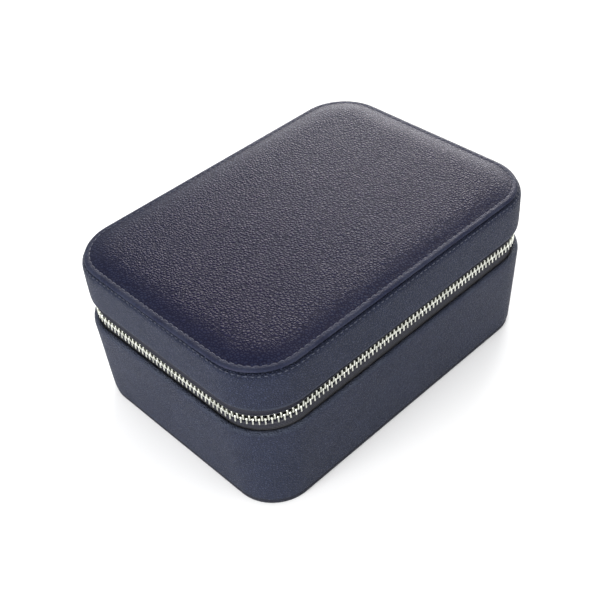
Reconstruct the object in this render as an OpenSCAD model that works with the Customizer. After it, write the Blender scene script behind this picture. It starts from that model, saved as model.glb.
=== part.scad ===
// Zip-around travel jewellery case, closed. Leather over board, a padded panel on the lid,
// a leather hinge along the back, a metal zip round the other three sides, and a lined
// inside with ring rolls, dividers, a mirror and a pocket. Millimetres, +Z up.
// X runs along the long side, the front is -Y and the hinge is at +Y.

/* [Case] */
// Width over the base rim
case_w = 176.6; // [160:0.2:190]
// Depth over the base rim
case_d = 127; // [118:0.2:140]
// Corner radius at the base rim
corner_r = 25; // [20:0.1:28]
// Height of the base rim above the table
base_h = 46; // [42:0.1:56]
// Height of the lid's side wall
lid_wall_h = 18.8; // [15:0.1:22]
// How far the foot of the base wall sits inside its rim
wall_lean = 2.9; // [1:0.1:5]
// Corner radius at the foot of the base wall
foot_r = 19.4; // [18:0.1:24]

/* [Lid panel] */
// Distance from the base rim's outline to the padded panel's outline
panel_set = 2.5; // [2:0.1:5]
// Thickness of the panel's turned edge
panel_edge = 2.1; // [2.1:0.1:3]
// Rise of the padding above the edge
panel_crown = 2.2; // [1.5:0.1:4]
// Width of the flat stitched border
border_w = 4.5; // [3:0.1:6]
// Width of the slope from the border up to the crown
slope_w = 12; // [6:0.5:20]

/* [Leather and board] */
// Leather on the walls
leather_t = 1.2; // [1:0.1:1.4]
// Leather on the padded panel
panel_leather_t = 0.7; // [0.5:0.1:0.8]
// Leather-covered board under the base
bottom_t = 2.8; // [2:0.1:4]
// Board in the floor and in the lid's top
board_t = 2; // [1.5:0.1:2.5]
// Suede lining
lining_t = 1; // [0.8:0.1:1.2]
// How far the lid's wall stands inside the base rim's outline
lid_set = 0.9; // [0.5:0.1:1]

/* [Zip] */
// Gap between the base rim and the lid's lower edge
zip_gap = 12; // [12:0.1:14]
// Width of the closed chain of teeth
chain_w = 6; // [5.6:0.1:6.4]
// Thickness of a tooth
tooth_t = 2.8; // [2.4:0.1:3]
// Distance between two teeth of one row
tooth_pitch = 2.4; // [2.2:0.1:3]
// Width of a tooth along the chain
tooth_w = 1.3; // [1:0.1:1.6]
// Width of the tape hidden behind each wall
tape_tail = 4; // [3:0.1:4.5]
// Length of the slider
slider_len = 11; // [9:0.5:13]
// Length of the pull tab below its pin
tab_len = 25; // [18:1:34]
// Width of the pull tab
tab_w = 8; // [6:0.5:10]

/* [Inside] */
// Top of the dividers and ring rolls above the table
divider_top = 36; // [28:1:40]
// Thickness of a lined divider
divider_t = 2.4; // [2:0.1:3]
// Place of the long divider, front to back
long_divider_y = 10; // [0:1:16]
// Place of the short divider beside the ring rolls
roll_divider_x = -22; // [-30:1:-10]
// Distance of the rear dividers from the middle
rear_divider_x = 28; // [22:1:34]
// Number of ring rolls
roll_count = 7; // [5:1:9]
// Mirror size along X and Y
mirror_size = [112, 58];

/* [Hidden] */
$fn = 48;

navy = [0.17, 0.18, 0.25];
dark_navy = [0.09, 0.1, 0.15];
suede = [0.62, 0.6, 0.6];
board_grey = [0.45, 0.42, 0.38];
metal = [0.78, 0.77, 0.74];
foam_white = [0.9, 0.88, 0.82];

glue = 0.05;
slab = 0.02;
over = 1;

// Levels above the table
lid_z = base_h + zip_gap;
lid_top = lid_z + lid_wall_h;
panel_top = lid_top + panel_edge;
crown_top = panel_top + panel_crown;
chain_z = base_h + zip_gap / 2;
floor_z = bottom_t + board_t;
inner_floor_z = floor_z + lining_t + 2 * glue;
lid_board_top = lid_top - leather_t;
lid_board_z = lid_board_top - board_t;
ceiling_z = lid_board_z - lining_t;

// Insets from the base rim's outline, outside to inside
wall_in = 3;
lid_wall_in = 3.2;
zip_in = 3.6;
tape_t = 0.6;
tape_gap = 0.2;
lining_in = 4;
inner_in = lining_in + lining_t;
turn_in = 12;

// The zip's path runs on the tape's middle line
path_a = case_w / 2 - zip_in;
path_b = case_d / 2 - zip_in;
path_r = corner_r - zip_in;
quarter = path_r * PI / 2;
side_run = 2 * (path_b - path_r);
front_run = 2 * (path_a - path_r);
spine_w = case_w - 2 * corner_r;

// Slider at rest, behind the last tooth on the right-hand side
stop_w = 2.2;
stop_room = 3;
slider_y = side_run / 2 - slider_len / 2 - stop_room;
slider_w = 8.4;
plate_t = 1;
channel = 1.6;
flange_gap = 0.6;
web_t = 0.5;
row_slot = 0.8;
pin_r = 0.75;
eye_bore_r = 0.83;
eye_r = 1.7;
pin_out = 1;
post_t = 1.2;
tab_t = 1.3;
pin_x = case_w / 2 + pin_out;
teeth_end = side_run / 2 + slider_y - slider_len / 2 - 0.4;
row_length = quarter * 3 + side_run + front_run + teeth_end;
tooth_count = floor((row_length - stop_w) / tooth_pitch);
tooth_h = (chain_w - row_slot) / 2;
tooth_grip = 0.8;

// The puller's eye stands out on the right, so the case is shifted to centre the whole
centre_x = -(pin_out + eye_r) / 2;

mirror_t = 1.8;
frame_w = 5;
frame_t = 2.6;
frame_lip = 2;
mirror_y = -18;
pocket_size = [130, 33];
pocket_t = 2.8;
pocket_y = 38;

function lean_at(z) = wall_lean * (1 - z / base_h);
function radius_at(z) = foot_r + (corner_r - foot_r) * z / base_h;

// Place on the zip's path at length s from its start at the back, left of the hinge
function on_arc(cx, cy, turn) = [cx + path_r * cos(turn), cy + path_r * sin(turn), turn];
function on_path(s) =
    let (
        cx = path_a - path_r,
        cy = path_b - path_r,
        left = quarter,
        corner = left + side_run,
        front = corner + quarter,
        right_corner = front + front_run,
        right = right_corner + quarter
    )
    s < left ? on_arc(-cx, cy, 90 + 90 * s / quarter)
    : s < corner ? [-path_a, cy - (s - left), 180]
    : s < front ? on_arc(-cx, -cy, 180 + 90 * (s - corner) / quarter)
    : s < right_corner ? [-cx + s - front, -path_b, 270]
    : s < right ? on_arc(cx, -cy, 270 + 90 * (s - right_corner) / quarter)
    : [path_a, -cy + s - right, 0];

module in_frame() {
    translate([centre_x, 0, 0]) children();
}

module rounded_rect(w, d, r) {
    square([w - 2 * r, d], center = true);
    square([w, d - 2 * r], center = true);
    for (x = [-1, 1], y = [-1, 1])
        translate([x * (w / 2 - r), y * (d / 2 - r)]) circle(r);
}

module outline(inset) {
    rounded_rect(case_w - 2 * inset, case_d - 2 * inset, corner_r - inset);
}

// Upright block between two levels, inset from the base rim's outline
module block(z0, z1, inset) {
    translate([0, 0, z0]) linear_extrude(z1 - z0) outline(inset);
}

module ring(z0, z1, inset, thick) {
    translate([0, 0, z0]) linear_extrude(z1 - z0) difference() {
        outline(inset);
        outline(inset + thick);
    }
}

// Block that follows the lean of the base's walls
module base_slab(z, inset) {
    cut = lean_at(z) + inset;
    translate([0, 0, z]) linear_extrude(slab)
        rounded_rect(case_w - 2 * cut, case_d - 2 * cut, radius_at(z) - inset);
}

module base_block(z0, z1, inset) {
    hull() {
        base_slab(z0, inset);
        base_slab(z1 - slab, inset);
    }
}

module panel_block(z0, z1, inset) {
    block(z0, z1, panel_set + inset);
}

module crown(z0, z1, inset) {
    hull() {
        panel_block(z0, z0 + slab, border_w + inset);
        panel_block(z1 - slab, z1, border_w + slope_w + inset);
    }
}

// Plan of the base's inside at floor level
module well(z0, z1) {
    cut = lean_at(inner_floor_z) + inner_in + 2 * glue;
    translate([0, 0, z0]) linear_extrude(z1 - z0)
        rounded_rect(case_w - 2 * cut, case_d - 2 * cut, radius_at(inner_floor_z) - inner_in - 2 * glue);
}

module back_opening(width, z0, z1) {
    translate([-width / 2, case_d / 2 - 2 * zip_in, z0]) cube([width, 2 * zip_in + over, z1 - z0]);
}

// Base

module bottom_panel() {
    color(dark_navy) in_frame() base_block(0, bottom_t - glue, 0.3);
}

module base_cover() {
    color(navy) in_frame() difference() {
        base_block(bottom_t, base_h, 0);
        base_block(bottom_t - over, base_h - leather_t, leather_t);
        base_block(bottom_t - over, base_h + over, wall_in);
    }
}

module base_walls() {
    color(board_grey) in_frame() difference() {
        base_block(bottom_t, base_h - leather_t - glue, leather_t + glue);
        base_block(bottom_t - over, base_h, wall_in);
    }
}

module base_floor() {
    color(board_grey) in_frame() base_block(bottom_t, floor_z, wall_in + glue);
}

module base_lining() {
    color(suede) in_frame() difference() {
        base_block(floor_z + glue, base_h, wall_in + 0.25);
        base_block(inner_floor_z - glue, base_h + over, inner_in);
        ring(base_h - tape_tail - 0.2, base_h + over, wall_in - over, lining_in - wall_in + over);
    }
}

module divider(length, x, y, turn) {
    color(suede) in_frame() intersection() {
        translate([x, y, inner_floor_z]) rotate([0, 0, turn])
            translate([-length / 2, -divider_t / 2, 0]) cube([length, divider_t, divider_top - inner_floor_z]);
        well(inner_floor_z, divider_top);
    }
}

module long_divider() {
    divider(case_w, 0, long_divider_y, 0);
}

// Short dividers butt against the long one
module front_divider(x) {
    length = case_d / 2;
    divider(length, x, long_divider_y - divider_t / 2 - glue - length / 2, 90);
}

module rear_divider(x) {
    length = case_d / 2;
    divider(length, x, long_divider_y + divider_t / 2 + glue + length / 2, 90);
}

roll_left = roll_divider_x + divider_t / 2 + 0.2;
roll_right = case_w / 2 - lean_at(inner_floor_z) - inner_in - 0.3;
roll_back = long_divider_y - divider_t / 2 - 0.2;
roll_pitch = (roll_right - roll_left) / roll_count;
roll_w = roll_pitch - 0.4;
bed_t = 5;

module ring_bed() {
    color(suede) in_frame() intersection() {
        translate([roll_left, -case_d / 2, inner_floor_z])
            cube([roll_right - roll_left, case_d / 2 + roll_back, bed_t]);
        well(inner_floor_z, inner_floor_z + bed_t);
    }
}

module ring_roll(i) {
    z0 = inner_floor_z + bed_t + glue;
    color(suede) in_frame() intersection() {
        translate([roll_left + roll_pitch * (i - 0.5), roll_back, z0]) rotate([90, 0, 0])
            linear_extrude(case_d / 2 + roll_back) {
                translate([-roll_w / 2, 0]) square([roll_w, divider_top - z0 - roll_w / 2 - 1]);
                translate([0, divider_top - z0 - roll_w / 2 - 1]) circle(roll_w / 2);
            }
        well(z0, divider_top);
    }
}

// Zip

module tape(z0, z1) {
    difference() {
        ring(z0, z1, zip_in - tape_t / 2, tape_t);
        back_opening(spine_w - 4, z0 - over, z1 + over);
    }
}

// Past the top stops the two tapes run on, almost edge to edge
module tape_end(z0, z1) {
    intersection() {
        tape(z0, z1);
        translate([path_a - path_r, side_run / 2 + stop_w, z0]) cube([corner_r, corner_r, z1 - z0]);
    }
}

module zip_tape_lower() {
    color(dark_navy) in_frame() {
        tape(base_h - tape_tail, chain_z - chain_w / 2 + tooth_grip);
        tape_end(base_h - tape_tail, chain_z - tape_gap);
    }
}

module zip_tape_upper() {
    color(dark_navy) in_frame() {
        tape(chain_z + chain_w / 2 - tooth_grip, lid_z + tape_tail);
        tape_end(chain_z + tape_gap, lid_z + tape_tail);
    }
}

// Block gripping the tape's edge, s along the path and z to its lower face
module on_tape(s, z, size) {
    p = on_path(s);
    translate([p.x, p.y, z]) rotate([0, 0, p.z])
        translate([-size.x / 2, -size.y / 2, 0]) cube(size);
}

module teeth(z, start) {
    color(metal) in_frame() for (i = [0:tooth_count - 1])
        on_tape(start + tooth_pitch * (i + 0.5), z, [tooth_t, tooth_w, tooth_h]);
}

module zip_teeth_lower() {
    teeth(chain_z - chain_w / 2, stop_w);
}

module zip_teeth_upper() {
    teeth(chain_z + row_slot / 2, stop_w - tooth_pitch / 2);
}

module stops(z) {
    far_end = quarter * 3 + 2 * side_run + front_run;
    color(metal) in_frame() for (s = [0, far_end - stop_w / 2])
        on_tape(s, z, [tooth_t, stop_w, tooth_h]);
}

module zip_stops_lower() {
    stops(chain_z - chain_w / 2);
}

module zip_stops_upper() {
    stops(chain_z + row_slot / 2);
}

// Profile in the plane of the tape, extruded outwards from x
module upright(x, thick) {
    translate([x, 0, 0]) rotate([90, 0, 90]) linear_extrude(thick) children();
}

module slider() {
    flange_h = slider_w / 2 - chain_w / 2 - 0.2;
    color(metal) in_frame() translate([0, slider_y, chain_z]) {
        for (x = [path_a + channel, path_a - channel - plate_t])
            upright(x, plate_t) rounded_rect(slider_len, slider_w, 2);
        for (side = [-1, 1], x = [path_a + flange_gap, path_a - channel])
            translate([x, -slider_len / 2 + 2, side * (slider_w / 2 - flange_h / 2) - flange_h / 2])
                cube([channel - flange_gap, slider_len - 4, flange_h]);
        translate([path_a - channel, slider_len / 2 - 4.5, -web_t / 2])
            cube([2 * channel, 3.5, web_t]);
        for (y = [-1, 1])
            translate([path_a + channel + plate_t, y * (slider_len / 2 - 1.1) - post_t / 2, -1.3])
                cube([pin_x - path_a - channel - plate_t + 1.1, post_t, 2.6]);
        translate([pin_x, slider_len / 2 - 1.1, 0]) rotate([90, 0, 0])
            cylinder(r = pin_r, h = slider_len - 2.2);
    }
}

module puller() {
    eye_len = slider_len - 2.2 - post_t - 0.6;
    neck_w = 5;
    color(metal) in_frame() translate([pin_x, slider_y, chain_z]) difference() {
        union() {
            translate([0, eye_len / 2, 0]) rotate([90, 0, 0]) cylinder(r = eye_r, h = eye_len);
            upright(-tab_t / 2, tab_t) {
                translate([-neck_w / 2, -8]) square([neck_w, 8]);
                translate([0, -(tab_len + 5) / 2]) rounded_rect(tab_w, tab_len - 5, 3);
            }
        }
        translate([0, eye_len, 0]) rotate([90, 0, 0]) cylinder(r = eye_bore_r, h = 2 * eye_len);
    }
}

// Lid

module lid_cover() {
    color(navy) in_frame() difference() {
        block(lid_z, lid_top, lid_set);
        block(lid_z + leather_t, lid_board_top, lid_set + leather_t);
        block(lid_z - over, lid_z + 2 * leather_t, lid_wall_in);
        block(lid_board_top - over, lid_top + over, turn_in);
    }
}

module lid_walls() {
    outer = lid_set + leather_t + glue;
    color(board_grey) in_frame()
        ring(lid_z + leather_t + glue, lid_board_z - glue, outer, lid_wall_in - outer);
}

module lid_board() {
    color(board_grey) in_frame() block(lid_board_z, lid_board_top - glue, lid_set + leather_t + glue);
}

module lid_filler() {
    color(board_grey) in_frame() block(lid_board_top, lid_top + panel_leather_t - glue, turn_in + glue);
}

module lid_panel() {
    color(navy) in_frame() difference() {
        union() {
            panel_block(lid_top + glue, panel_top, 0);
            crown(panel_top - slab, crown_top, 0);
        }
        block(lid_top - over, lid_top + panel_edge / 2, turn_in);
        panel_block(lid_top + panel_leather_t, panel_top - panel_leather_t, panel_leather_t);
        crown(panel_top - panel_leather_t - slab, crown_top - panel_leather_t, 0);
    }
}

module panel_card() {
    color(board_grey) in_frame()
        panel_block(lid_top + panel_leather_t, panel_top - panel_leather_t - glue, panel_leather_t + glue);
}

module lid_foam() {
    color(foam_white) in_frame() crown(panel_top - panel_leather_t, crown_top - panel_leather_t - 2 * glue, 3 * glue);
}

module lid_lining() {
    color(suede) in_frame() difference() {
        block(lid_z + glue, lid_board_z - glue, lid_wall_in + glue);
        block(lid_z - over, ceiling_z, inner_in);
        ring(lid_z - over, lid_z + tape_tail + 0.2, lid_wall_in - over, lining_in - lid_wall_in + over);
    }
}

module mirror_plan(grow) {
    rounded_rect(mirror_size.x + 2 * grow, mirror_size.y + 2 * grow, 4 + grow);
}

module mirror_frame() {
    frame_z = ceiling_z - glue - frame_t;
    color(navy) in_frame() translate([0, mirror_y, frame_z]) difference() {
        linear_extrude(frame_t) mirror_plan(frame_w);
        translate([0, 0, -over]) linear_extrude(frame_t + 2 * over) mirror_plan(-frame_lip);
        translate([0, 0, frame_t - mirror_t - glue]) linear_extrude(frame_t) mirror_plan(glue);
    }
}

module mirror() {
    color("lightblue") in_frame()
        translate([0, mirror_y, ceiling_z - glue - mirror_t]) linear_extrude(mirror_t) mirror_plan(0);
}

module lid_pocket() {
    color(suede) in_frame() translate([0, pocket_y, ceiling_z - glue - pocket_t])
        linear_extrude(pocket_t) rounded_rect(pocket_size.x, pocket_size.y, 6);
}

// Hinge

module spine() {
    spine_in = 0.5;
    color(navy) in_frame() translate([-spine_w / 2, case_d / 2 - spine_in - leather_t, base_h + glue])
        cube([spine_w, leather_t, zip_gap - 2 * glue]);
}

module spine_lining() {
    lining_w = spine_w - 4;
    color(suede) in_frame() translate([-lining_w / 2, case_d / 2 - inner_in, base_h + glue])
        cube([lining_w, lining_t, zip_gap - 2 * glue]);
}

bottom_panel();
base_cover();
base_walls();
base_floor();
base_lining();
long_divider();
front_divider(roll_divider_x);  // short_divider
rear_divider(-rear_divider_x);  // rear_divider_left
rear_divider(rear_divider_x);  // rear_divider_right
ring_bed();
for (i = [1:roll_count])
    ring_roll(i);
zip_tape_lower();
zip_teeth_lower();
zip_stops_lower();
slider();
puller();
zip_tape_upper();
zip_teeth_upper();
zip_stops_upper();
lid_cover();
lid_walls();
lid_board();
lid_filler();
panel_card();
lid_foam();
lid_panel();
lid_lining();
mirror_frame();
mirror();
lid_pocket();
spine();
spine_lining();
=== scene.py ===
"""Looks of a zip-around travel jewellery case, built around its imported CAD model.

Leather shells and linings are lofted round the case's rounded outline, padding is shaped by formula,
and the zip, stitches and inside are made piece by piece. Lengths are in metres, except that the
profiles of skins are in millimetres.
"""
import math
import random

import bmesh
import bpy
import numpy as np
from mathutils import Matrix, Vector, noise


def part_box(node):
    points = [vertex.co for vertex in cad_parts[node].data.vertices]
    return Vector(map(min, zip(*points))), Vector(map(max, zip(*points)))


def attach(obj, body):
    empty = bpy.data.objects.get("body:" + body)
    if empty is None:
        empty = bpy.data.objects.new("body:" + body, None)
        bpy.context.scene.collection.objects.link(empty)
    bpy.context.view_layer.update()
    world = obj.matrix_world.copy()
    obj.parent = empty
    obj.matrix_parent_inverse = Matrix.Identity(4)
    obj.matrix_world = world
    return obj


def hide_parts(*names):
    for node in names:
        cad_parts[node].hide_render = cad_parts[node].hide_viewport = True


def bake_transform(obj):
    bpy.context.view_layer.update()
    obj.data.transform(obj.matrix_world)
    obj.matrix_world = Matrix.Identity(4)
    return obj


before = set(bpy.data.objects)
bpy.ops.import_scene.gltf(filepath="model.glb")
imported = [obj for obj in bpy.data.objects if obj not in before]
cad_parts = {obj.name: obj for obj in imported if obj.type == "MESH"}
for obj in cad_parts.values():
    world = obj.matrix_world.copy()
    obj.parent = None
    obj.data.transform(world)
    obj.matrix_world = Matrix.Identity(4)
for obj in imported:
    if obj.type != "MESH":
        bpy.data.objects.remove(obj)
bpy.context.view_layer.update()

MM = 0.001
UP = Vector((0, 0, 1))

# ---------------------------------------------------------------- places and sizes

rim_low, rim_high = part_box("base_cover")
lid_low, lid_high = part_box("lid_cover")
panel_low, panel_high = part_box("lid_panel")
MID_X = (rim_low.x + rim_high.x) / 2
CASE_X = (rim_high.x - rim_low.x) / 2
CASE_Y = rim_high.y
FOOT_Z = rim_low.z
RIM_Z = rim_high.z
LID_Z = lid_low.z
LID_TOP = lid_high.z
CHAIN_Z = (RIM_Z + LID_Z) / 2
PANEL_X = (panel_high.x - panel_low.x) / 2
PANEL_Y = panel_high.y
CROWN_TOP = panel_high.z
TAPE_HALF = 0.3 * MM
TAPE_IN = CASE_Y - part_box("zip_tape_lower")[1].y + TAPE_HALF
LID_IN = CASE_X - (lid_high.x - lid_low.x) / 2

RIM_R = 25.0 * MM
FOOT_R = 19.4 * MM
WALL_LEAN = 2.9 * MM
PANEL_R = 22.5 * MM
PANEL_EDGE = 2.1 * MM
PANEL_BOW = 1.2 * MM
TOOTH_PITCH = 2.4 * MM
FIRST_TOOTH = 2.2 * MM
CHAIN_W = 5.0 * MM
CHAIN_RIDE = 2.0 * MM
CHAIN_DROOP = 2.6 * MM

CORNER_STEPS = 16
SIDE_STEPS = 26
FRONT_STEPS = 42


# ---------------------------------------------------------------- mesh helpers


def add_mesh(name, verts, faces, uvs=None, smooth=True):
    """A new object from vertices and faces, with normals outward and one uv per face corner."""
    mesh = bpy.data.meshes.new(name)
    mesh.from_pydata([tuple(v) for v in verts], [], faces)
    if uvs is not None:
        layer = mesh.uv_layers.new(name="wrap")
        flat = np.array([uv for face in uvs for uv in face], np.float32)
        layer.data.foreach_set("uv", flat.ravel())
    mesh.update()
    bm = bmesh.new()
    bm.from_mesh(mesh)
    bmesh.ops.recalc_face_normals(bm, faces=bm.faces)
    bm.to_mesh(mesh)
    bm.free()
    if smooth:
        mesh.shade_smooth()
    obj = bpy.data.objects.new(name, mesh)
    bpy.context.scene.collection.objects.link(obj)
    return obj


def apply_modifiers(obj):
    """Turns an object's modifiers into its mesh."""
    depsgraph = bpy.context.evaluated_depsgraph_get()
    depsgraph.update()
    mesh = bpy.data.meshes.new_from_object(obj.evaluated_get(depsgraph))
    obj.modifiers.clear()
    obj.data = mesh
    return obj


def finish_piece(obj, body, material, slot, *nodes):
    """Material, body and the CAD nodes that a piece stands for; slot is not used."""
    obj.data.materials.clear()
    obj.data.materials.append(material)
    if body:
        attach(obj, body)
    if nodes:
        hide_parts(*nodes)
    return obj


def outline(half_x, half_y, radius, closed=True):
    """Points round a rounded rectangle with outward normals, from the back left corner by the
    left, front and right sides, and along the back too if closed. The count never changes."""
    cx, cy = half_x - radius, half_y - radius
    corners = [(-cx, cy, 90), (-cx, -cy, 180), (cx, -cy, 270), (cx, cy, 360)]
    steps = [SIDE_STEPS, FRONT_STEPS, SIDE_STEPS, FRONT_STEPS]
    points = []
    for k, (x, y, start) in enumerate(corners):
        for i in range(CORNER_STEPS + 1):
            turn = math.radians(start + 90 * i / CORNER_STEPS)
            nx, ny = math.cos(turn), math.sin(turn)
            points.append((MID_X + x + radius * nx, y + radius * ny, nx, ny))
        if k == 3 and not closed:
            break
        x2, y2, start2 = corners[(k + 1) % 4]
        turn = math.radians(start2)
        nx, ny = math.cos(turn), math.sin(turn)
        a = Vector((x + radius * nx, y + radius * ny))
        b = Vector((x2 + radius * nx, y2 + radius * ny))
        for i in range(1, steps[k]):
            p = a.lerp(b, i / steps[k])
            points.append((MID_X + p.x, p.y, nx, ny))
    return points


def base_ring(z, inset, closed=True):
    """Outline of the leaning base wall at height z, moved inwards."""
    cut = WALL_LEAN * (1 - z / RIM_Z) + inset
    radius = FOOT_R + (RIM_R - FOOT_R) * z / RIM_Z - inset
    return outline(CASE_X - cut, CASE_Y - cut, max(radius, 0.2 * MM), closed)


def rim_ring(z, inset, closed=True):
    """Outline of the base rim, moved inwards, whatever the height."""
    return outline(CASE_X - inset, CASE_Y - inset, max(RIM_R - inset, 0.2 * MM), closed)


def bow(x, y):
    """How far the panel's soft left side stands out, most in its middle."""
    share = 0.28
    side = min(max(-(x - MID_X) / PANEL_X - (1 - share), 0.0) / share, 1.0)
    return -PANEL_BOW * side * max(1 - (y / PANEL_Y) ** 2, 0.0)


def panel_ring(z, inset, closed=True):
    """Outline of the padded panel, moved inwards."""
    radius = max(PANEL_R - inset, 1.5 * MM)
    points = outline(PANEL_X - inset, PANEL_Y - inset, radius, closed)
    return [(x + bow(x, y), y, nx, ny) for x, y, nx, ny in points]


def wobble(p, size, seed):
    """Smooth value from -1 to 1 that changes over about size metres."""
    return noise.noise(Vector((p[0] / size + seed, p[1] / size - seed, p[2] / size)))


def loft(name, ring, profile, closed=True, loop=True, caps=(False, False), rough=0.0, seed=0.0):
    """Skin through copies of an outline. profile is (inset, z) in millimetres. loop joins its last
    ring to its first, caps close its ends to a middle point, and rough is how uneven it is."""
    rings = [[(inset * MM, z * MM, p) for p in ring(z * MM, inset * MM, closed)] for inset, z in profile]
    count = len(rings[0])
    verts = []
    run = [0.0]
    for k, row in enumerate(rings):
        if k:
            run.append(run[-1] + math.dist(profile[k], profile[k - 1]) * MM)
        for inset, z, (x, y, nx, ny) in row:
            d = rough * wobble((x, y, z), 0.022, seed) if rough else 0.0
            verts.append((x + nx * d, y + ny * d, z + 0.3 * d))
    along = [0.0]
    for i in range(1, count + 1):
        a, b = rings[0][i - 1][2], rings[0][i % count][2]
        along.append(along[-1] + math.dist(a[:2], b[:2]))
    faces, uvs = [], []
    last = len(rings) if loop else len(rings) - 1
    for k in range(last):
        k2 = (k + 1) % len(rings)
        v0, v1 = run[k], run[k2] if k2 else run[k] + math.dist(profile[k], profile[0]) * MM
        for i in range(count if closed else count - 1):
            j = (i + 1) % count
            faces.append((k * count + i, k * count + j, k2 * count + j, k2 * count + i))
            u0, u1 = along[i], along[i + 1]
            uvs.append(((u0, v0), (u1, v0), (u1, v1), (u0, v1)))
    for end, wanted in zip((0, len(rings) - 1), caps):
        if not wanted:
            continue
        middle = len(verts)
        z = profile[end][1] * MM
        verts.append((MID_X, 0.0, z))
        for i in range(count):
            a, b = end * count + i, end * count + (i + 1) % count
            faces.append((a, b, middle))
            uvs.append(((along[i], run[end]), (along[i + 1], run[end]), (along[i], run[end])))
    if not closed and loop:
        for side in (0, count - 1):
            faces.append(tuple(k * count + side for k in range(len(rings))))
            uvs.append(tuple((along[side], run[k]) for k in range(len(rings))))
    return add_mesh(name, verts, faces, uvs)


def walk(half_x, half_y, radius, pitch, start, end=None):
    """Evenly spaced (place, outward normal) along the outline from its start at the back left.
    Without an end it goes all the way round, with the pitch adjusted to fit."""
    quarter = radius * math.pi / 2
    side, front = 2 * (half_y - radius), 2 * (half_x - radius)
    parts = [(quarter, 0), (side, 0), (quarter, 1), (front, 1),
             (quarter, 2), (side, 2), (quarter, 3), (front, 3)]
    total = sum(length for length, _ in parts)
    if end is None:
        end = start + total
        pitch = total / round(total / pitch)
    cx, cy = half_x - radius, half_y - radius
    centres = [(-cx, cy, 90), (-cx, -cy, 180), (cx, -cy, 270), (cx, cy, 0)]
    result = []
    for i in range(int((end - start) / pitch + 0.5)):
        s = (start + pitch * i) % total
        for k, (length, corner) in enumerate(parts):
            if s <= length:
                break
            s -= length
        x, y, angle = centres[corner]
        if k % 2 == 0:
            turn = math.radians(angle + 90 * s / length)
            normal = Vector((math.cos(turn), math.sin(turn), 0))
            place = Vector((x, y, 0)) + radius * normal
        else:
            turn = math.radians(angle + 90)
            normal = Vector((math.cos(turn), math.sin(turn), 0))
            place = Vector((x, y, 0)) + radius * normal + s * Vector((-normal.y, normal.x, 0))
        result.append((place + Vector((MID_X, 0, 0)), normal))
    return result


def scatter(name, unit, placements):
    """One object holding a copy of unit = (verts, faces) at each 4x4 placement."""
    verts, faces = [], []
    unit_verts, unit_faces = unit
    for m in placements:
        offset = len(verts)
        verts.extend(m @ v for v in unit_verts)
        faces.extend(tuple(i + offset for i in f) for f in unit_faces)
    return add_mesh(name, verts, faces)


def frame_matrix(place, x_axis, y_axis, z_axis):
    """Placement whose axes are the three given directions."""
    m = Matrix((x_axis, y_axis, z_axis)).transposed().to_4x4()
    m.translation = place
    return m


def sections(rows):
    """Closed skin through rows of points, each with the same count, capped at both ends."""
    count = len(rows[0])
    verts = [Vector(p) for row in rows for p in row]
    faces = [tuple(range(count)), tuple(reversed(range(len(verts) - count, len(verts))))]
    for k in range(len(rows) - 1):
        for i in range(count):
            j = (i + 1) % count
            faces.append((k * count + i, k * count + j, (k + 1) * count + j, (k + 1) * count + i))
    return verts, faces


def sheet_faces(columns, rows):
    """Faces of two layers of a grid of points, the second under the first, joined round the edge."""
    row = columns + 1
    layer = row * (rows + 1)
    faces = []
    for j in range(rows):
        for i in range(columns):
            a = j * row + i
            faces.append((a, a + 1, a + 1 + row, a + row))
            faces.append((layer + a, layer + a + row, layer + a + 1 + row, layer + a + 1))
    for i in range(columns):
        for a in (i, rows * row + i):
            faces.append((a, a + 1, layer + a + 1, layer + a))
    for j in range(rows):
        for a in (j * row, j * row + columns):
            faces.append((a, a + row, layer + a + row, layer + a))
    return faces


def chamfered(width, depth, cut, z):
    """Eight points of a rectangle with cut corners."""
    a, b = width / 2, depth / 2
    corners = [(a, b - cut), (a - cut, b), (-a + cut, b), (-a, b - cut)]
    corners += [(-a, -b + cut), (-a + cut, -b), (a - cut, -b), (a, -b + cut)]
    return [(x, y, z) for x, y in corners]


def thread_unit(length, radius):
    """A stitch: a thread that dips into the leather at both ends. X runs along it, Z is up."""
    rows = []
    for i in range(7):
        t = i / 6
        x = (t - 0.5) * length
        lift = radius * (1.5 * math.sin(math.pi * t) ** 0.6 - 1.0)
        r = radius * (0.45 + 0.55 * math.sin(math.pi * t) ** 0.5)
        rows.append([(x, 1.15 * r * math.cos(a), lift + r * math.sin(a))
                     for a in (math.pi * k / 3 for k in range(6))])
    return sections(rows)


def stitch_row(name, places, length, radius, body, material, slot):
    """A row of stitches. Each place is its point, the outline's outward normal there and the
    direction that the thread faces."""
    placements = []
    for point, normal, facing in places:
        along = Vector((-normal.y, normal.x, 0))
        placements.append(frame_matrix(point, along, facing.cross(along), facing))
    row = scatter(name, thread_unit(length, radius), placements)
    finish_piece(row, body, material, slot)


# ---------------------------------------------------------------- materials


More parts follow.
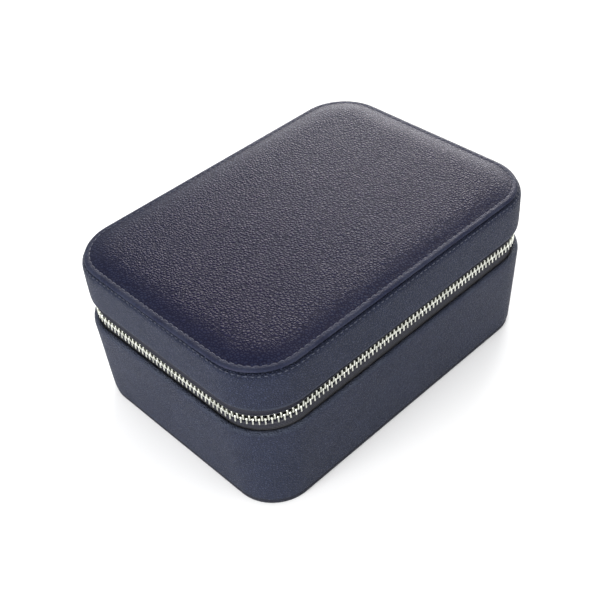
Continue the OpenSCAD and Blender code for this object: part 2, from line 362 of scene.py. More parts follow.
class Shader:
    """A Principled material with short calls to add and join nodes."""

    def __init__(self, name):
        self.material = bpy.data.materials.new(name)
        self.material.use_nodes = True
        self.tree = self.material.node_tree
        self.bsdf = self.tree.nodes["Principled BSDF"]
        self.place = self.add("ShaderNodeTexCoord").outputs["Object"]

    def add(self, kind, inputs=(), **settings):
        node = self.tree.nodes.new(kind)
        for key, value in settings.items():
            setattr(node, key, value)
        for key, value in dict(inputs).items():
            if hasattr(value, "is_output"):
                self.tree.links.new(value, node.inputs[key])
            else:
                node.inputs[key].default_value = value
        return node

    def uv(self):
        return self.add("ShaderNodeUVMap", uv_map="wrap").outputs["UV"]

    def math(self, operation, a, b=0.0, clamp=False):
        node = self.add("ShaderNodeMath", {0: a, 1: b}, operation=operation, use_clamp=clamp)
        return node.outputs[0]

    def vector(self, operation, a, b):
        return self.add("ShaderNodeVectorMath", {0: a, 1: b}, operation=operation).outputs[0]

    def noise(self, where, scale, detail=2.0, roughness=0.5):
        inputs = {"Vector": where, "Scale": scale, "Detail": detail, "Roughness": roughness}
        return self.add("ShaderNodeTexNoise", inputs)

    def cells(self, where, scale, feature="F1", **inputs):
        inputs = {"Vector": where, "Scale": scale, **inputs}
        return self.add("ShaderNodeTexVoronoi", inputs, feature=feature).outputs["Distance"]

    def spread(self, value, low, high, out_low=0.0, out_high=1.0):
        inputs = {"Value": value, "From Min": low, "From Max": high, "To Min": out_low, "To Max": out_high}
        return self.add("ShaderNodeMapRange", inputs, interpolation_type="SMOOTHSTEP").outputs[0]

    def mix(self, amount, a, b):
        node = self.add("ShaderNodeMix", data_type="RGBA")
        for key, value in ((0, amount), (6, a), (7, b)):
            if hasattr(value, "is_output"):
                self.tree.links.new(value, node.inputs[key])
            else:
                node.inputs[key].default_value = value
        return node.outputs[2]

    def bump(self, height, distance, strength=1.0, normal=None):
        inputs = {"Height": height, "Distance": distance, "Strength": strength}
        if normal is not None:
            inputs["Normal"] = normal
        return self.add("ShaderNodeBump", inputs).outputs["Normal"]

    def set(self, **inputs):
        for key, value in inputs.items():
            socket = self.bsdf.inputs[key.replace("_", " ")]
            if hasattr(value, "is_output"):
                self.tree.links.new(value, socket)
            else:
                socket.default_value = value
        return self.material


def rgb(r, g, b):
    """Opaque colour."""
    return (r, g, b, 1.0)


# Colour of the painted highlight on rolled and turned leather edges.
PAINTED_EDGE_HIGHLIGHT = (0.04, 0.048, 0.073)


def leather(name, crease_shade, pebble, tint, grain, depth, roughness, specular=0.3, gloss=(1.0, 1.0, 1.0),
            field=None, edges=()):
    """Pebbled leather: rounded cells parted by creases, broken up, with fine pores between.
    field names a vertex value: 1 on loose leather, 0 where it is pulled flat, -1 on the turned edge, which
    gets a painted highlight.
    edges are the heights of rolled edges, which get a painted highlight: a paler band of colour along each."""
    s = Shader(name)
    warp = s.noise(s.place, 0.35 / grain, 2.0).outputs["Color"]
    warp = s.vector("SUBTRACT", warp, (0.5, 0.5, 0.5))
    warp = s.add("ShaderNodeVectorMath", {0: warp, "Scale": 1.3 * grain}, operation="SCALE").outputs[0]
    where = s.vector("ADD", s.place, warp)
    crease_line = s.spread(s.cells(where, 1 / grain, "DISTANCE_TO_EDGE"), 0.0, 0.3)
    small_line = s.spread(s.cells(where, 2.3 / grain, "DISTANCE_TO_EDGE"), 0.0, 0.16)
    dome = s.spread(s.cells(where, 1 / grain, "SMOOTH_F1", Smoothness=0.5), 0.7, 0.0)
    pores = s.noise(s.place, 3.2 / grain, 3.0, 0.6).outputs["Fac"]
    patches = s.noise(s.place, 90.0, 2.0).outputs["Fac"]
    broken = s.spread(patches, 0.35, 0.65, 0.6, 1.0)
    height = s.math("MULTIPLY", crease_line, broken)
    height = s.math("ADD", height, s.math("MULTIPLY", dome, 0.8))
    height = s.math("ADD", height, s.math("MULTIPLY", small_line, 0.15))
    height = s.math("ADD", height, s.math("MULTIPLY", pores, 0.25))
    clouds = s.noise(s.place, 14.0, 3.0, 0.55).outputs["Fac"]
    tinted = s.spread(clouds, 0.3, 0.7)
    if field:
        value = s.add("ShaderNodeAttribute", attribute_name=field).outputs["Fac"]
        tinted = s.math("ADD", s.math("MULTIPLY", tinted, 0.35), s.math("MULTIPLY", value, 0.65), clamp=True)
    body = s.mix(tinted, rgb(*pebble), rgb(*tint))
    # Painted shade: creases are coloured darker than the pebble tops, standing in for the shade in the
    # grain's hollows.
    shade = s.math("MULTIPLY", crease_line, s.spread(pores, 0.25, 0.7, 0.6, 1.0))
    colour = s.mix(shade, rgb(*crease_shade), body)
    # Painted highlight: a paler, patchy band of colour along each rolled edge's height, standing in for the
    # light its rounding catches.
    for edge in edges:
        level = s.add("ShaderNodeSeparateXYZ", {0: s.place}).outputs[2]
        away = s.spread(s.math("ABSOLUTE", s.math("SUBTRACT", level, edge)), 2.2 * MM, 0.4 * MM)
        edge_highlight = s.math("MULTIPLY", away, s.spread(patches, 0.3, 0.7, 0.4, 1.0))
        colour = s.mix(edge_highlight, colour, rgb(*PAINTED_EDGE_HIGHLIGHT))
    shine = s.spread(pores, 0.3, 0.7, roughness - 0.07, roughness + 0.08)
    shine = s.math("ADD", shine, s.spread(crease_line, 0.0, 1.0, 0.15, 0.0))
    strength = 1.0
    if field:
        strength = s.spread(value, 0.0, 1.0, 0.3, 1.0)
        # Painted highlight: where field is -1, on the panel's turned edge, the colour is mixed paler.
        edge_highlight = s.math("MULTIPLY", s.spread(value, -0.1, -0.9), s.spread(patches, 0.3, 0.7, 0.2, 0.45))
        colour = s.mix(edge_highlight, colour, rgb(*PAINTED_EDGE_HIGHLIGHT))
    s.set(Base_Color=colour, Roughness=shine, Normal=s.bump(height, depth, strength))
    s.set(Specular_IOR_Level=specular, Specular_Tint=rgb(*gloss))
    return s.material


def suede(name, low, high):
    """Brushed microfibre: soft nap in patches, fine fibres and sheen."""
    s = Shader(name)
    nap = s.noise(s.place, 90.0, 5.0, 0.6).outputs["Fac"]
    fibre = s.noise(s.place, 2600.0, 3.0, 0.7).outputs["Fac"]
    tone = s.math("ADD", s.math("MULTIPLY", nap, 0.45), s.math("MULTIPLY", fibre, 0.55))
    colour = s.mix(s.spread(tone, 0.3, 0.75), rgb(*low), rgb(*high))
    height = s.math("ADD", s.math("MULTIPLY", fibre, 0.5), s.math("MULTIPLY", nap, 0.5))
    s.set(Base_Color=colour, Roughness=s.spread(fibre, 0.2, 0.8, 0.82, 0.98))
    s.set(Normal=s.bump(height, 0.00025, 0.8))
    s.set(Sheen_Weight=0.35, Sheen_Roughness=0.45, Specular_IOR_Level=0.2)
    return s.material


def tape_cloth(name, low, high, across, along):
    """Woven zip tape: ribs along the tape crossed by fine picks."""
    s = Shader(name)
    parts = s.add("ShaderNodeSeparateXYZ", {0: s.uv()})
    rib = s.math("SINE", s.math("MULTIPLY", parts.outputs[1], 2 * math.pi / across))
    pick = s.math("SINE", s.math("MULTIPLY", parts.outputs[0], 2 * math.pi / along))
    fuzz = s.noise(s.place, 2200.0, 3.0).outputs["Fac"]
    crossed = s.math("MULTIPLY", s.math("MULTIPLY", rib, pick), 0.5)
    weave = s.math("ADD", s.math("MULTIPLY", rib, 0.5), crossed)
    height = s.math("ADD", weave, fuzz)
    colour = s.mix(s.spread(height, -0.4, 1.4), rgb(*low), rgb(*high))
    s.set(Base_Color=colour, Roughness=s.spread(fuzz, 0.2, 0.8, 0.75, 0.95))
    s.set(Normal=s.bump(height, 0.0001, 0.8), Sheen_Weight=0.1, Specular_IOR_Level=0.25)
    return s.material


def thread(name, low, high):
    """Bonded sewing thread: twisted strands."""
    s = Shader(name)
    twist = s.noise(s.place, 1500.0, 2.0).outputs["Fac"]
    colour = s.mix(s.spread(twist, 0.3, 0.7), rgb(*low), rgb(*high))
    s.set(Base_Color=colour, Roughness=s.spread(twist, 0.3, 0.7, 0.5, 0.7))
    s.set(Normal=s.bump(twist, 0.0001, 0.7), Sheen_Weight=0.15)
    return s.material


def metal(name, bright, dull, roughness, scratch):
    """Plated metal: slight clouding, fine scratches and dull patches."""
    s = Shader(name)
    clouds = s.noise(s.place, 260.0, 3.0).outputs["Fac"]
    stretched = s.vector("MULTIPLY", s.place, (1.0, 1.0, 9.0))
    lines = s.noise(stretched, scratch, 2.0, 0.7).outputs["Fac"]
    colour = s.mix(s.spread(clouds, 0.35, 0.7), rgb(*bright), rgb(*dull))
    dulled = s.spread(clouds, 0.3, 0.7, roughness, roughness + 0.1)
    shine = s.math("ADD", dulled, s.spread(lines, 0.5, 0.8, 0.0, 0.12))
    s.set(Base_Color=colour, Roughness=shine, Normal=s.bump(lines, 0.00003, 0.4))
    s.set(Metallic=1.0)
    return s.material


def board(name, low, high):
    """Grey bookbinder's board: fibres and flecks."""
    s = Shader(name)
    flecks = s.noise(s.place, 900.0, 4.0, 0.7).outputs["Fac"]
    clouds = s.noise(s.place, 60.0, 3.0).outputs["Fac"]
    tone = s.math("ADD", s.math("MULTIPLY", flecks, 0.6), s.math("MULTIPLY", clouds, 0.4))
    s.set(Base_Color=s.mix(s.spread(tone, 0.35, 0.65), rgb(*low), rgb(*high)))
    s.set(Roughness=s.spread(flecks, 0.3, 0.7, 0.8, 0.95), Normal=s.bump(flecks, 0.0001, 0.6))
    return s.material


def foam(name):
    """Open-celled foam."""
    s = Shader(name)
    cells = s.cells(s.place, 1800.0)
    s.set(Base_Color=s.mix(s.spread(cells, 0.0, 0.6), rgb(0.62, 0.58, 0.46), rgb(0.86, 0.83, 0.74)))
    s.set(Roughness=s.spread(cells, 0.0, 0.6, 0.95, 0.85), Normal=s.bump(cells, 0.0003, 0.8))
    return s.material


def silvered(name):
    """Mirror glass with the faintest haze and smears."""
    s = Shader(name)
    smears = s.noise(s.vector("MULTIPLY", s.place, (1.0, 3.0, 1.0)), 30.0, 4.0, 0.6).outputs["Fac"]
    s.set(Base_Color=s.mix(s.spread(smears, 0.3, 0.8), rgb(0.9, 0.92, 0.93), rgb(0.84, 0.87, 0.89)))
    s.set(Roughness=s.spread(smears, 0.4, 0.8, 0.02, 0.06), Normal=s.bump(smears, 0.00001, 0.1))
    s.set(Metallic=1.0)
    return s.material


def pale_floor(name):
    """Matt, nearly white paper."""
    s = Shader(name)
    grainy = s.noise(s.place, 8.0, 2.0).outputs["Fac"]
    s.set(Base_Color=s.mix(grainy, rgb(0.93, 0.93, 0.93), rgb(0.95, 0.95, 0.95)))
    s.set(Roughness=s.spread(grainy, 0.0, 1.0, 0.85, 0.9), Specular_IOR_Level=0.1)
    return s.material


# Painted light: panel and walls are one navy leather. The panel's colours are set darker and the walls'
# lighter, making up for the light each gets.
PANEL_LEATHER = leather("panel_leather", (0.002, 0.004, 0.015), (0.009, 0.015, 0.037), (0.014, 0.011, 0.035),
                        1.25 * MM, 0.19 * MM, 0.4, 0.1, (1.0, 0.68, 0.9), "field")
# The wall leather gets a painted highlight along the rolled rims of base and lid.
WALL_LEATHER = leather("wall_leather", (0.008, 0.0115, 0.027), (0.022, 0.029, 0.062), (0.028, 0.034, 0.068),
                       1.0 * MM, 0.4 * MM, 0.5, 0.2, edges=(RIM_Z, LID_Z))
EDGE_LEATHER = leather("edge_leather", (0.009, 0.012, 0.028), (0.017, 0.022, 0.045), (0.02, 0.024, 0.047),
                       1.0 * MM, 0.08 * MM, 0.48, 0.22)
BASE_LEATHER = leather("base_leather", (0.004, 0.005, 0.012), (0.008, 0.01, 0.022), (0.009, 0.011, 0.024),
                       1.0 * MM, 0.08 * MM, 0.6)
LINING = suede("lining_suede", (0.3, 0.29, 0.295), (0.46, 0.445, 0.45))
ROLL_SUEDE = suede("roll_suede", (0.33, 0.32, 0.325), (0.5, 0.485, 0.49))
ELASTIC = suede("pocket_cloth", (0.26, 0.25, 0.26), (0.4, 0.385, 0.395))
TAPE = tape_cloth("tape_cloth", (0.004, 0.0045, 0.009), (0.013, 0.014, 0.026), 0.8 * MM, 0.7 * MM)
THREAD = thread("navy_thread", (0.022, 0.026, 0.052), (0.04, 0.043, 0.078))
TONAL_THREAD = thread("dark_thread", (0.022, 0.028, 0.052), (0.038, 0.045, 0.075))
TEETH = metal("nickel_teeth", (0.7, 0.71, 0.64), (0.46, 0.47, 0.42), 0.26, 900.0)
PLATED = metal("nickel_plate", (0.56, 0.57, 0.54), (0.4, 0.41, 0.39), 0.2, 700.0)
BOARD = board("grey_board", (0.3, 0.27, 0.23), (0.46, 0.42, 0.36))
FOAM = foam("foam")
SILVERED = silvered("silvered_glass")
FLOOR = pale_floor("pale_floor")


# ---------------------------------------------------------------- base outside


def base_cover():
    """Wall leather: out of the bottom seam, up the leaning wall and rolled in over the rim."""
    foot, rim = FOOT_Z / MM, RIM_Z / MM
    outside = [(2.2, foot + 0.05), (0.7, foot + 0.05), (0.18, foot + 0.35), (0.0, foot + 0.9)]
    outside += [(-0.05 * math.sin(math.pi * t), foot + 0.9 + (rim - 3.4 - foot) * t)
                for t in np.linspace(0.1, 1, 12)]
    roll = [(0.08, rim - 1.7), (0.32, rim - 0.95), (0.8, rim - 0.35), (1.45, rim - 0.05), (2.1, rim - 0.12),
            (2.65, rim - 0.5), (2.95, rim - 1.1), (3.0, rim - 2.2)]
    inside = [(2.6, rim - 2.4), (1.2, rim - 2.8), (1.15, foot + 3)]
    cover = loft("base_cover_leather", base_ring, outside + roll + inside, rough=0.12 * MM, seed=3.1)
    finish_piece(cover, "base", WALL_LEATHER, "wall_leather", "base_cover")


def bottom_panel():
    """Leather-covered bottom board with a softly rounded lower edge."""
    top = FOOT_Z / MM - 0.05
    profile = [(14, 0.0), (1.8, 0.0), (0.9, 0.12), (0.45, 0.5), (0.28, 1.1), (0.3, top - 0.8),
               (0.55, top - 0.2), (1.2, top), (14, top)]
    panel = loft("bottom_panel_leather", base_ring, profile, loop=False, caps=(True, True),
                 rough=0.05 * MM, seed=9.0)
    finish_piece(panel, "base", BASE_LEATHER, "base_leather", "bottom_panel")


# ---------------------------------------------------------------- lid outside


def lid_cover():
    """Wall leather of the lid: rolled in at its lower edge, shouldered in under the panel."""
    low, top, out = LID_Z / MM, LID_TOP / MM, LID_IN / MM
    roll = [(3.15, low + 2.4), (3.05, low + 1.1), (2.75, low + 0.45), (2.2, low + 0.08), (1.75, low + 0.05),
            (1.3, low + 0.35), (1.02, low + 0.9), (out + 0.02, low + 1.8)]
    wall = [(out - 0.06 * math.sin(math.pi * t), low + 2.2 + (top - low - 4.6) * t)
            for t in np.linspace(0.1, 0.98, 8)]
    shoulder = [(out + 0.04, top - 1.9), (out + 0.22, top - 1.2), (out + 0.6, top - 0.6),
                (out + 1.2, top - 0.2), (out + 2.0, top - 0.03), (9.0, top)]
    inside = [(9.0, top - 1.1), (2.3, top - 1.2), (2.1, top - 2.2), (2.1, low + 2.6)]
    cover = loft("lid_cover_leather", rim_ring, roll + wall + shoulder + inside, rough=0.12 * MM, seed=6.4)
    finish_piece(cover, "lid", WALL_LEATHER, "wall_leather", "lid_cover")


def lid_wall_stitches():
    """Stitches round the shoulder of the lid's wall, facing out and up."""
    inset = LID_IN + 0.85 * MM
    level = LID_TOP - 0.42 * MM
    tilt = 1.0
    places = []
    for place, normal in walk(CASE_X - inset, CASE_Y - inset, RIM_R - inset, 2.6 * MM, 0.0):
        facing = (normal * math.cos(tilt) + UP * math.sin(tilt)).normalized()
        places.append((Vector((place.x, place.y, level)), normal, facing))
    stitch_row("lid_wall_stitching", places, 1.7 * MM, 0.16 * MM, "lid", TONAL_THREAD, "wall_leather")


def crown_height(t):
    """Height of the padding above the panel's edge at a distance t in from the edge, both in mm."""
    full = (CROWN_TOP - LID_TOP) / MM - PANEL_EDGE / MM
    border, slope = 4.0, 15.6
    if t <= border:
        return 0.0
    rise = min((t - border) / slope, 1.0)
    return (full - 0.35) * (1 - (1 - rise) ** 2.4)


def lid_panel():
    """Padded leather panel: turned edge, stitched border and a soft crown over foam."""
    top = LID_TOP / MM + PANEL_EDGE / MM
    low = LID_TOP / MM + 0.06
    edge = [(9.5, low + 0.65), (9.5, low), (3.4, low), (1.9, low + 0.2), (0.8, low + 0.55), (0.2, low + 0.9),
            (0.0, low + 1.2), (0.12, top - 0.62), (0.4, top - 0.28), (0.85, top - 0.07), (1.4, top + 0.01),
            (2.0, top), (2.3, top - 0.08), (2.55, top - 0.14), (2.8, top - 0.1), (3.2, top + 0.02),
            (4.0, top + 0.1)]
    crown = [(t, top + 0.1 + crown_height(t)) for t in (5.2, 6, 7, 8.2, 9.6, 11.2, 13, 15, 17.2, 19.6)]
    profile = edge + crown
    rows = [[Vector((x, y, z * MM)) for x, y, _, _ in panel_ring(0, t * MM)] for t, z in profile]
    count = len(rows[0])
    outer, outer_z = rows[-1], profile[-1][1]
    full = CROWN_TOP / MM - 0.02
    for shrink in (0.93, 0.85, 0.76, 0.66, 0.55, 0.43, 0.3, 0.15):
        z = outer_z + (full - outer_z) * (1 - shrink ** 2)
        rows.append([Vector((MID_X + (p.x - MID_X) * shrink, p.y * shrink, z * MM)) for p in outer])
    verts = [v for row in rows for v in row]
    faces = []
    for k in range(len(rows) - 1):
        for i in range(count):
            j = (i + 1) % count
            faces.append((k * count + i, k * count + j, (k + 1) * count + j, (k + 1) * count + i))
    middle = len(verts)
    verts.append(Vector((MID_X, 0, full * MM)))
    under = len(verts)
    verts.append(Vector((MID_X, 0, profile[0][1] * MM)))
    top_row = (len(rows) - 1) * count
    for i in range(count):
        j = (i + 1) % count
        faces.append((top_row + i, top_row + j, middle))
        faces.append((j, i, under))
    panel = add_mesh("lid_panel_leather", verts, faces)
    field = panel.data.attributes.new("field", "FLOAT", "POINT")
    border = count * (len(edge) - 4)
    for i, v in enumerate(panel.data.vertices):
        x, y, z = v.co
        inner = min(max((z / MM - top) / (full - top), 0.0), 1.0)
        v.co.z += min(1.6 * inner, 1.0) * 0.12 * MM * (wobble((x, y, 0), 0.03, 1.7) - 1.0)
        # The turned edge gets -1, which paints a highlight on it in the leather shader.
        field.data[i].value = inner ** 2 if i >= border else -1.0
    finish_piece(panel, "lid", PANEL_LEATHER, "panel_leather", "lid_panel")
    inset = 2.55 * MM
    places = []
    for place, normal in walk(PANEL_X - inset, PANEL_Y - inset, PANEL_R - inset, 3.1 * MM, 0.0):
        point = Vector((place.x + bow(place.x, place.y), place.y, (top - 0.1) * MM))
        places.append((point, normal, UP))
    stitch_row("lid_panel_stitching", places, 2.5 * MM, 0.17 * MM, "lid", THREAD, "panel_leather")


# ---------------------------------------------------------------- zip

TAPE_X, TAPE_Y, TAPE_R = CASE_X - TAPE_IN, CASE_Y - TAPE_IN, RIM_R - TAPE_IN


def tape_ring(z, inset, closed=False):
    """Open outline of the tape's middle line, moved inwards."""
    return outline(TAPE_X - inset, TAPE_Y - inset, TAPE_R - inset, False)


def drift(x, y):
    """How far the chain strays from level: it droops along the left side and rides up in front."""
    droop = max(-(x - MID_X) / CASE_X, 0.0) ** 8 * max(1 - (y / CASE_Y) ** 2, 0.0)
    ride = max(-y / CASE_Y, 0.0) ** 8 * max(1 - ((x - MID_X) / CASE_X) ** 2, 0.0)
    return CHAIN_RIDE * ride - CHAIN_DROOP * droop


def zip_tape(name, node, edge_z, root_z, body):
    """Tape from its corded edge beside the teeth to its hidden tail behind the wall. Past the slider
    the two tapes close on each other, up to the hinge."""
    up = 1 if root_z > edge_z else -1
    edge, root, half = edge_z / MM, root_z / MM, TAPE_HALF / MM
    profile = [(half, root), (half, edge + up * 2.0), (0.34, edge + up * 1.0), (0.75, edge + up * 0.75),
               (0.85, edge + up * 0.2), (0.5, edge - up * 0.25), (0.0, edge - up * 0.4),
               (-0.5, edge - up * 0.25), (-0.85, edge + up * 0.2), (-0.75, edge + up * 0.75),
               (-0.34, edge + up * 1.0), (-half, edge + up * 2.0), (-half, root)]
    tape = loft(name, tape_ring, profile, closed=False)
    closing, fade = 1.35 * MM, 6 * MM
    for v in tape.data.vertices:
        hold = min(abs(v.co.z - root_z) / abs(edge_z - root_z), 1.0)
        past = min(max((v.co.y - (CASE_Y - RIM_R)) / fade, 0.0), 1.0) if v.co.x > MID_X else 0.0
        v.co.z += hold * (drift(v.co.x, v.co.y) - up * closing * past)
    finish_piece(tape, body, TAPE, "zip_tape", node)


def tooth_unit():
    """A tooth standing on the tape's edge: legs, neck and a head past the middle of the chain.
    X is outwards, Y along the chain and Z towards the other row, from the root at 0. The rows
    are its width, length, cut corners and height in millimetres."""
    rows = [(2.4, 0.6, 0.15, 0.0), (2.8, 0.72, 0.2, 0.2), (2.8, 0.72, 0.2, 0.9), (2.75, 0.66, 0.2, 1.4),
            (2.7, 0.68, 0.2, 1.9), (2.7, 0.98, 0.3, 2.3), (2.6, 1.0, 0.32, 2.75), (2.1, 0.66, 0.26, 3.1)]
    return sections([chamfered(w * MM, d * MM, c * MM, z * MM) for w, d, c, z in rows])


def zip_teeth():
    """Two rows of teeth, half a pitch apart, up to the slider."""
    slider_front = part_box("slider")[0].y
    straight = 2 * (TAPE_Y - TAPE_R)
    corner_run = TAPE_R * math.pi / 2
    clear = 0.4 * MM
    reach = corner_run * 3 + straight + 2 * (TAPE_X - TAPE_R) + (slider_front + straight / 2) - clear
    start = FIRST_TOOTH + TOOTH_PITCH / 2
    count = int((reach - FIRST_TOOTH) / TOOTH_PITCH)
    rows = [("zip_teeth_lower_row", "zip_teeth_lower", "base", 0.0, 1),
            ("zip_teeth_upper_row", "zip_teeth_upper", "lid", -TOOTH_PITCH / 2, -1)]
    for name, node, body, shift, up in rows:
        first = start + shift
        random.seed(41 + up)
        last = first + count * TOOTH_PITCH
        placements = []
        for place, normal in walk(TAPE_X, TAPE_Y, TAPE_R, TOOTH_PITCH, first, last):
            along = Vector((-normal.y, normal.x, 0))
            place = Vector((place.x, place.y, CHAIN_Z - up * CHAIN_W / 2 + drift(place.x, place.y)))
            lean = random.uniform(-0.035, 0.035)
            rise = Vector((0, 0, up)) + lean * along
            rise.normalize()
            across = rise.cross(normal)
            placements.append(frame_matrix(place, normal, across, rise))
        row = scatter(name, tooth_unit(), placements)
        row.data.shade_flat()
        finish_piece(row, body, TEETH, "zip_teeth", node)


def crimp_stops():
    """Crimped end stops: flattened staples over the tape's edge at both ends of each row."""
    for node, body in (("zip_stops_lower", "base"), ("zip_stops_upper", "lid")):
        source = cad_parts[node]
        stops = source.copy()
        stops.data = source.data.copy()
        stops.name = node + "_crimps"
        for key in list(stops.keys()):
            del stops[key]
        bpy.context.scene.collection.objects.link(stops)
        stops.parent = None
        bevel = stops.modifiers.new("round", "BEVEL")
        bevel.width = 0.55 * MM
        bevel.segments = 3
        apply_modifiers(stops)
        finish_piece(stops, body, TEETH, "zip_teeth", node)


def soften(node, width, segments=3):
    """Rounds the edges of a CAD node that keeps its shape."""
    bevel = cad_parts[node].modifiers.new("round", "BEVEL")
    bevel.width = width
    bevel.segments = segments
    bevel.limit_method = "ANGLE"
    bevel.angle_limit = math.radians(35)
    bevel.harden_normals = False


# ---------------------------------------------------------------- hinge


def spine(name, node, outer_y, thick, material, slot):
    """Flexible strip across the back, from the base rim to the lid's edge."""
    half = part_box(node)[1].x - MID_X
    rows = 20
    columns = 56
    overlap, hold = 1.2 * MM, 0.4 * MM
    low, high = RIM_Z - overlap, LID_Z + overlap
    verts = []
    for side in (0, 1):
        for j in range(rows + 1):
            z = low + (high - low) * j / rows
            for i in range(columns + 1):
                x = MID_X - half + 2 * half * i / columns
                y = outer_y - side * thick
                y += 0.08 * MM * wobble((x, 0, z), 0.012, 5.0) * (1 - side)
                verts.append((x, y, z))
    strip = add_mesh(name, verts, sheet_faces(columns, rows))
    finish_piece(strip, None, material, slot, node)
    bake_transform(strip)


# ---------------------------------------------------------------- inside of the base


def fillet(radius=1.7):
    """Steps in from a wall and up from a floor along the soft corner between them, in millimetres."""
    return [(radius * (1 - math.cos(a)), radius * (1 - math.sin(a))) for a in (0.4, 0.8, 1.2, math.pi / 2)]


def base_lining():
    """Suede tray: floor with a soft fillet, walls and a turned top edge."""
    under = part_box("base_lining")[0].z / MM + 0.02
    floor = under + 1.0
    rim = RIM_Z / MM
    profile = [(30, under), (3.5, under), (3.3, under + 0.4), (3.3, rim - 4.6), (4.02, rim - 4.2),
               (4.02, rim - 0.7), (4.2, rim - 0.25), (4.5, rim - 0.08), (4.8, rim - 0.25), (5.0, rim - 0.8)]
    profile += [(5.0, rim - 1.6 - (rim - 3.4 - floor) * t) for t in np.linspace(0.1, 1, 8)]
    profile += [(5.0 + inward, floor + rise) for inward, rise in fillet()]
    profile += [(12, floor), (22, floor), (34, floor)]
    tray = loft("base_lining_suede", base_ring, profile, loop=False, caps=(True, True),
                rough=0.05 * MM, seed=2.0)
    finish_piece(tray, "base", LINING, "suede", "base_lining")


def soft_bar(name, low, high, crown, clip=None, along="x", steps=24, seed=0.0):
    """Padded bar between two corners with rounded top edges. crown is the radius of its top, and
    clip(x) is how far forward it may reach at x."""
    low, high = Vector(low), Vector(high)
    if along == "x":
        length, half = high.x - low.x, (high.y - low.y) / 2
    else:
        length, half = high.y - low.y, (high.x - low.x) / 2
    height = high.z - low.z
    crown = min(crown, half)
    shoulder = height - crown
    left = [(-half + 0.3 * MM, 0.0), (-half, 0.5 * MM), (-half, shoulder * 0.5), (-half, shoulder)]
    section = list(left)
    for k in range(1, 12):
        a = math.pi - math.pi * k / 12
        side = math.copysign(1, math.cos(a)) if abs(math.cos(a)) > 1e-6 else 0
        section.append(((half - crown) * side + crown * math.cos(a), shoulder + crown * math.sin(a)))
    section += [(-u, z) for u, z in reversed(left)]
    round_end = min(crown, 2.2 * MM)
    stations = [0.0, 0.25, 0.6, 1.0]
    places = [round_end * s for s in stations]
    places += [round_end + (length - 2 * round_end) * i / steps for i in range(1, steps)]
    places += [length - round_end * s for s in reversed(stations)]
    rows = []
    for p in places:
        edge = min(p, length - p) / round_end
        pinch = 1.0 if edge >= 1 else 1 - 0.16 * (1 - edge) ** 2
        drop = 0.0 if edge >= 1 else 0.9 * MM * (1 - edge) ** 2
        row = []
        for u, z in section:
            z2 = z * (1 - drop / height)
            bulge = 1 + 0.012 * wobble((p, u, z), 0.02, seed)
            if along == "x":
                row.append(Vector((low.x + p, (low.y + high.y) / 2 + u * pinch * bulge, low.z + z2)))
            else:
                x = (low.x + high.x) / 2 + u * pinch * bulge
                front = low.y if clip is None else max(low.y, clip(x))
                t = p / length
                row.append(Vector((x, front + (high.y - front) * t, low.z + z2)))
        rows.append(row)
    verts, faces = sections(rows)
    return add_mesh(name, verts, faces)


def well_front(x):
    """Front limit of the well at x, a little inside its rounded corner."""
    radius = FOOT_R - 4.4 * MM
    centre_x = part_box("long_divider")[1].x - radius
    centre_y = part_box("ring_roll_1")[0].y + radius
    dx = min(max(x + 0.4 * MM - centre_x, 0.0), radius)
    return centre_y - math.sqrt(radius ** 2 - dx ** 2) + 0.5 * MM


def inside_of_base():
    """Dividers, ring rolls and the bed that holds them."""
    for node in ("long_divider", "short_divider", "rear_divider_left", "rear_divider_right"):
        low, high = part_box(node)
        along = "x" if node == "long_divider" else "y"
        bar = soft_bar(node + "_suede", low, high, 1.1 * MM, along=along, seed=len(node))
        finish_piece(bar, "base", LINING, "suede", node)
    count = sum(1 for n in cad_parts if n.startswith("ring_roll_"))
    for i in range(1, count + 1):
        low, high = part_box(f"ring_roll_{i}")
        roll = soft_bar(f"ring_roll_{i}_suede", low, high, 6.6 * MM, clip=well_front, along="y", seed=3.0 * i)
        finish_piece(roll, "base", ROLL_SUEDE, "suede", f"ring_roll_{i}")
    low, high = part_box("ring_bed")
    bed = soft_bar("ring_bed_suede", low, high, 1.0 * MM, clip=well_front, along="y", steps=12)
    finish_piece(bed, "base", ROLL_SUEDE, "suede", "ring_bed")


# ---------------------------------------------------------------- inside of the lid


def lid_lining():
    """Suede tray turned over: ceiling with a soft fillet and walls down to the lid's edge."""
    low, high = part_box("lid_lining")
    top, foot = high.z / MM - 0.02, low.z / MM
    ceiling = top - 0.95
    profile = [(30, top), (3.6, top), (3.35, top - 0.4), (3.35, foot + 4.6), (4.02, foot + 4.2),
               (4.02, foot + 0.7), (4.2, foot + 0.25), (4.5, foot + 0.1), (4.8, foot + 0.25),
               (5.0, foot + 0.8)]
    profile += [(5.0, foot + 1.6 + (ceiling - foot - 3.4) * t) for t in np.linspace(0.2, 1, 5)]
    profile += [(5.0 + inward, ceiling - rise) for inward, rise in fillet()]
    profile += [(12, ceiling), (22, ceiling), (34, ceiling)]
    tray = loft("lid_lining_suede", rim_ring, profile, loop=False, caps=(True, True),
                rough=0.04 * MM, seed=8.0)
    finish_piece(tray, "lid", LINING, "suede", "lid_lining")


